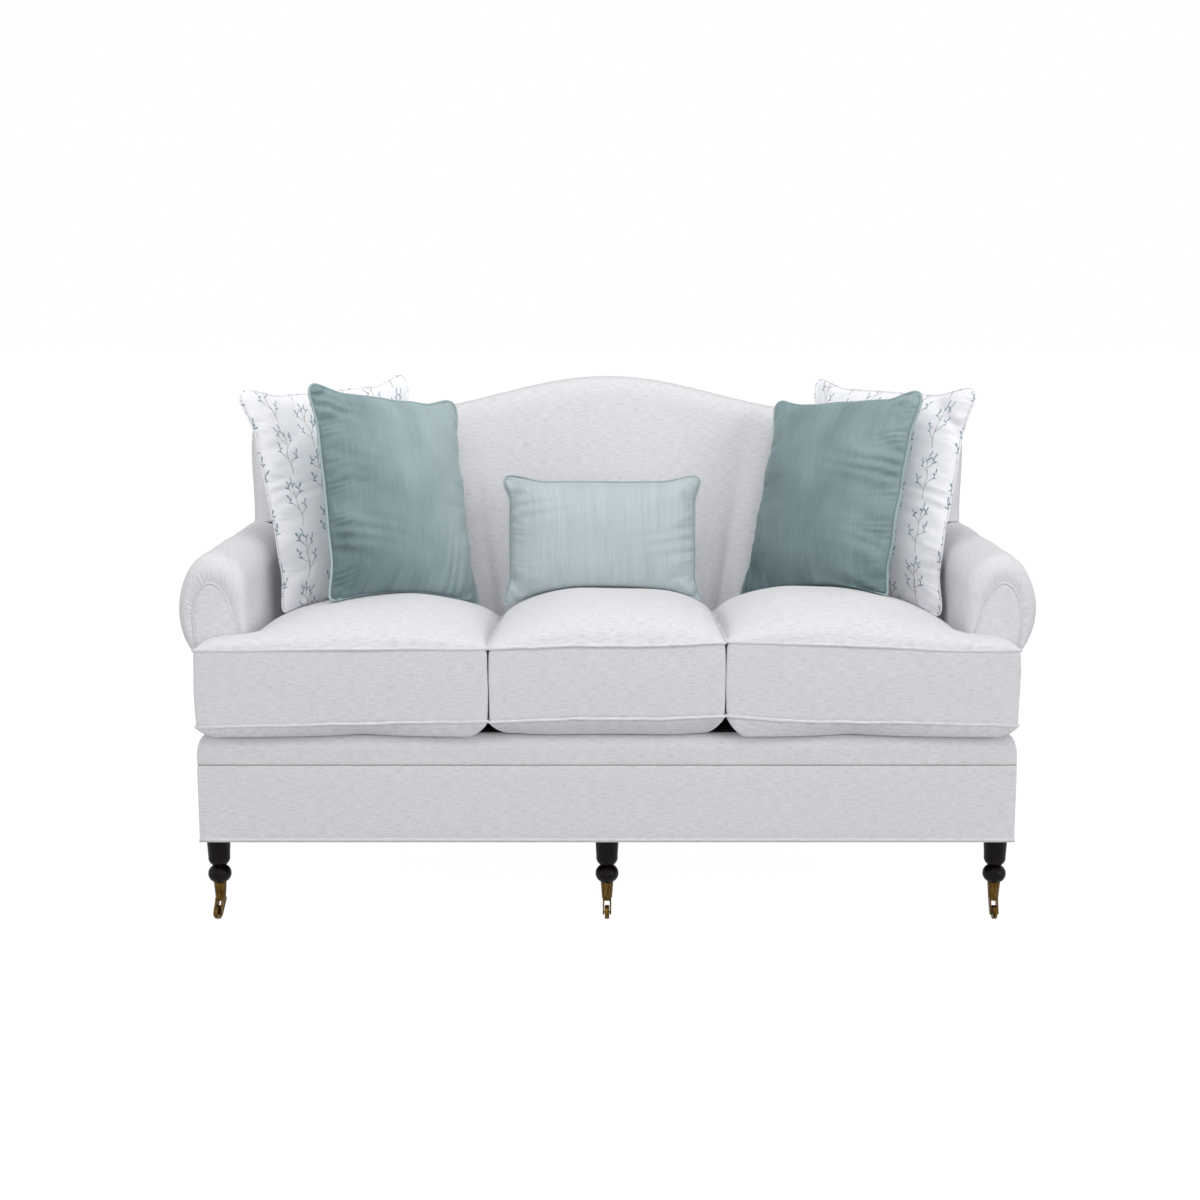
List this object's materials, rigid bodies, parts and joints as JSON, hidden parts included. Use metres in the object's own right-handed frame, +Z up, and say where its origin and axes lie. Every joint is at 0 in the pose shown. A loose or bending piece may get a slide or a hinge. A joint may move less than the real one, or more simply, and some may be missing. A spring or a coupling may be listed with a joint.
{
  "type": "camelback sofa",
  "caption": "Three-seat camelback sofa with rolled arms, T-shaped loose seat cushions, scatter pillows and turned legs on brass castors.",
  "frame": {"origin": "on the floor under the middle of the sofa's outer box", "axes": "+Z up, +Y from the front of the seat to the back, +X to the right as seen from the front"},
  "size_m": [1.788, 0.8763, 1.1015],
  "materials": {
    "linen": "matte slubbed weave",
    "sage_velvet": "cut velvet",
    "printed_linen": "matte weave with a printed sprig pattern",
    "aqua_silk": "soft satin with upright streaks",
    "black_cloth": "matte",
    "filling": "soft filling",
    "jute": "woven tape",
    "frame_timber": "sawn",
    "dark_wood": "satin lacquer",
    "aged_brass": "aged satin",
    "steel": "bright zinc"
  },
  "bodies": {
    "sofa": {"inside_back": "linen", "outside_back": "linen", "arm_pad_left": "linen", "arm_pad_right": "linen", "arm_facing_left": "linen", "arm_facing_right": "linen", "outside_arm_left": "linen", "outside_arm_right": "linen", "front_apron": "linen", "front_lip": "linen", "deck_cloth": "black_cloth", "dust_cover": "black_cloth", "deck_pad": "filling", "back_webbing": "jute", "front_rail": "frame_timber", "rear_rail": "frame_timber", "side_rails": "frame_timber", "seat_stretchers": "frame_timber", "leg_blocks": "frame_timber", "arm_frame_left": "frame_timber", "arm_frame_right": "frame_timber", "back_frame": "frame_timber", "camel_top_rail": "frame_timber", "leg_front_left": "dark_wood", "leg_front_middle": "dark_wood", "leg_front_right": "dark_wood", "leg_rear_left": "dark_wood", "leg_rear_middle": "dark_wood", "leg_rear_right": "dark_wood", "castor_cups": "aged_brass", "seat_springs": "steel", "leg_bolts": "steel"},
    "left_cushion": {"seat_cushion_left": "linen", "seat_insert_left": "filling"},
    "middle_cushion": {"seat_cushion_middle": "linen", "seat_insert_middle": "filling"},
    "right_cushion": {"seat_cushion_right": "linen", "seat_insert_right": "filling"},
    "left_printed_pillow": {"printed_pillow_left": "printed_linen", "printed_insert_left": "filling"},
    "right_printed_pillow": {"printed_pillow_right": "printed_linen", "printed_insert_right": "filling"},
    "left_velvet_pillow": {"velvet_pillow_left": "sage_velvet", "velvet_insert_left": "filling"},
    "right_velvet_pillow": {"velvet_pillow_right": "sage_velvet", "velvet_insert_right": "filling"},
    "lumbar": {"lumbar_pillow": "aqua_silk", "lumbar_insert": "filling"},
    "fork_front_left": {"castor_fork_front_left": "aged_brass"},
    "wheel_front_left": {"castor_wheel_front_left": "aged_brass"},
    "fork_front_middle": {"castor_fork_front_middle": "aged_brass"},
    "wheel_front_middle": {"castor_wheel_front_middle": "aged_brass"},
    "fork_front_right": {"castor_fork_front_right": "aged_brass"},
    "wheel_front_right": {"castor_wheel_front_right": "aged_brass"},
    "fork_rear_left": {"castor_fork_rear_left": "aged_brass"},
    "wheel_rear_left": {"castor_wheel_rear_left": "aged_brass"},
    "fork_rear_middle": {"castor_fork_rear_middle": "aged_brass"},
    "wheel_rear_middle": {"castor_wheel_rear_middle": "aged_brass"},
    "fork_rear_right": {"castor_fork_rear_right": "aged_brass"},
    "wheel_rear_right": {"castor_wheel_rear_right": "aged_brass"}
  },
  "joints": [
    {"name": "swivel_front_left", "type": "hinge", "parent": "sofa", "child": "fork_front_left", "pos_m": [-0.814, -0.37, 0.0495], "axis": [0, 0, 1], "continuous": true},
    {"name": "roll_front_left", "type": "hinge", "parent": "fork_front_left", "child": "wheel_front_left", "pos_m": [-0.81771, -0.38141, 0.0145], "axis": [0.9511, -0.309, 0], "continuous": true},
    {"name": "swivel_front_middle", "type": "hinge", "parent": "sofa", "child": "fork_front_middle", "pos_m": [0, -0.37, 0.0495], "axis": [0, 0, 1], "continuous": true},
    {"name": "roll_front_middle", "type": "hinge", "parent": "fork_front_middle", "child": "wheel_front_middle", "pos_m": [0, -0.382, 0.0145], "axis": [1, 0, 0], "continuous": true},
    {"name": "swivel_front_right", "type": "hinge", "parent": "sofa", "child": "fork_front_right", "pos_m": [0.814, -0.37, 0.0495], "axis": [0, 0, 1], "continuous": true},
    {"name": "roll_front_right", "type": "hinge", "parent": "fork_front_right", "child": "wheel_front_right", "pos_m": [0.814, -0.382, 0.0145], "axis": [1, 0, 0], "continuous": true},
    {"name": "swivel_rear_left", "type": "hinge", "parent": "sofa", "child": "fork_rear_left", "pos_m": [-0.814, 0.27735, 0.0495], "axis": [0, 0, 1], "continuous": true},
    {"name": "roll_rear_left", "type": "hinge", "parent": "fork_rear_left", "child": "wheel_rear_left", "pos_m": [-0.814, 0.26534, 0.0145], "axis": [1, 0, 0], "continuous": true},
    {"name": "swivel_rear_middle", "type": "hinge", "parent": "sofa", "child": "fork_rear_middle", "pos_m": [0, 0.27735, 0.0495], "axis": [0, 0, 1], "continuous": true},
    {"name": "roll_rear_middle", "type": "hinge", "parent": "fork_rear_middle", "child": "wheel_rear_middle", "pos_m": [0, 0.26534, 0.0145], "axis": [1, 0, 0], "continuous": true},
    {"name": "swivel_rear_right", "type": "hinge", "parent": "sofa", "child": "fork_rear_right", "pos_m": [0.814, 0.27735, 0.0495], "axis": [0, 0, 1], "continuous": true},
    {"name": "roll_rear_right", "type": "hinge", "parent": "fork_rear_right", "child": "wheel_rear_right", "pos_m": [0.814, 0.26534, 0.0145], "axis": [1, 0, 0], "continuous": true},
    {"name": "lift_left_cushion", "type": "slide", "parent": "sofa", "child": "left_cushion", "axis": [0, 0, 1], "range_m": [0, 0.45]},
    {"name": "lift_middle_cushion", "type": "slide", "parent": "sofa", "child": "middle_cushion", "axis": [0, 0, 1], "range_m": [0, 0.45]},
    {"name": "lift_right_cushion", "type": "slide", "parent": "sofa", "child": "right_cushion", "axis": [0, 0, 1], "range_m": [0, 0.45]},
    {"name": "lift_left_printed_pillow", "type": "slide", "parent": "left_cushion", "child": "left_printed_pillow", "axis": [0, 0, 1], "range_m": [0, 0.5]},
    {"name": "lift_left_velvet_pillow", "type": "slide", "parent": "left_printed_pillow", "child": "left_velvet_pillow", "axis": [0, 0, 1], "range_m": [0, 0.5]},
    {"name": "lift_right_printed_pillow", "type": "slide", "parent": "right_cushion", "child": "right_printed_pillow", "axis": [0, 0, 1], "range_m": [0, 0.5]},
    {"name": "lift_right_velvet_pillow", "type": "slide", "parent": "right_printed_pillow", "child": "right_velvet_pillow", "axis": [0, 0, 1], "range_m": [0, 0.5]},
    {"name": "lift_lumbar", "type": "slide", "parent": "middle_cushion", "child": "lumbar", "axis": [0, 0, 1], "range_m": [0, 0.5]}
  ]
}
